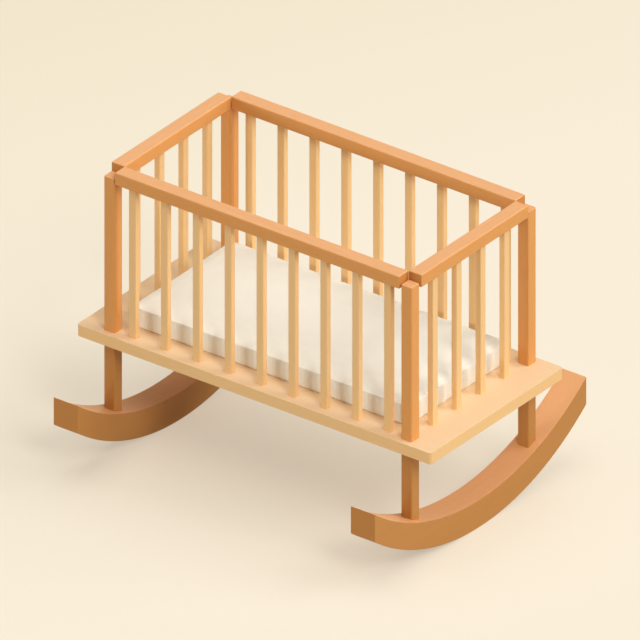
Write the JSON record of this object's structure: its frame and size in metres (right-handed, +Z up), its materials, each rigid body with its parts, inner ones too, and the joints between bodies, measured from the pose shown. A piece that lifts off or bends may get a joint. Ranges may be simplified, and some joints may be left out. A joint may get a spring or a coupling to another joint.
{
  "type": "rocking crib",
  "caption": "Slatted wooden rocking crib: a rectangular base board on curved rockers, posts and rails round a lift-out mattress.",
  "frame": {"origin": "on the floor under the middle of the crib, level with the lowest flats of the two rockers", "axes": "+X along the crib from its left end to its right end, +Y from its front side to its back side, +Z up"},
  "size_m": [0.91, 0.726, 0.6701],
  "materials": {
    "dark_wood": "satin, warm reddish brown",
    "light_wood": "satin, pale and natural",
    "mattress_fabric": "matt cotton cover, cream",
    "steel": "zinc plated"
  },
  "bodies": {
    "crib_frame": {"rocker_left": "dark_wood", "rocker_right": "dark_wood", "leg_front_left": "dark_wood", "post_front_left": "dark_wood", "rocker_screw_front_left": "steel", "leg_front_right": "dark_wood", "post_front_right": "dark_wood", "rocker_screw_front_right": "steel", "leg_back_left": "dark_wood", "post_back_left": "dark_wood", "rocker_screw_back_left": "steel", "leg_back_right": "dark_wood", "post_back_right": "dark_wood", "rocker_screw_back_right": "steel", "base_board": "light_wood", "rail_front": "dark_wood", "slat_front_1": "light_wood", "slat_front_2": "light_wood", "slat_front_3": "light_wood", "slat_front_4": "light_wood", "slat_front_5": "light_wood", "slat_front_6": "light_wood", "slat_front_7": "light_wood", "slat_front_8": "light_wood", "slat_front_9": "light_wood", "dowel_front_left": "light_wood", "dowel_front_right": "light_wood", "rail_back": "dark_wood", "slat_back_1": "light_wood", "slat_back_2": "light_wood", "slat_back_3": "light_wood", "slat_back_4": "light_wood", "slat_back_5": "light_wood", "slat_back_6": "light_wood", "slat_back_7": "light_wood", "slat_back_8": "light_wood", "slat_back_9": "light_wood", "dowel_back_left": "light_wood", "dowel_back_right": "light_wood", "rail_left": "dark_wood", "slat_left_1": "light_wood", "slat_left_2": "light_wood", "slat_left_3": "light_wood", "slat_left_4": "light_wood", "dowel_left_front": "light_wood", "dowel_left_back": "light_wood", "rail_right": "dark_wood", "slat_right_1": "light_wood", "slat_right_2": "light_wood", "slat_right_3": "light_wood", "slat_right_4": "light_wood", "dowel_right_front": "light_wood", "dowel_right_back": "light_wood"},
    "mattress": {"mattress": "mattress_fabric"}
  },
  "joints": [
    {"name": "mattress_lift", "type": "slide", "parent": "crib_frame", "child": "mattress", "axis": [0, 0, 1], "range_m": [0, 0.45]}
  ]
}
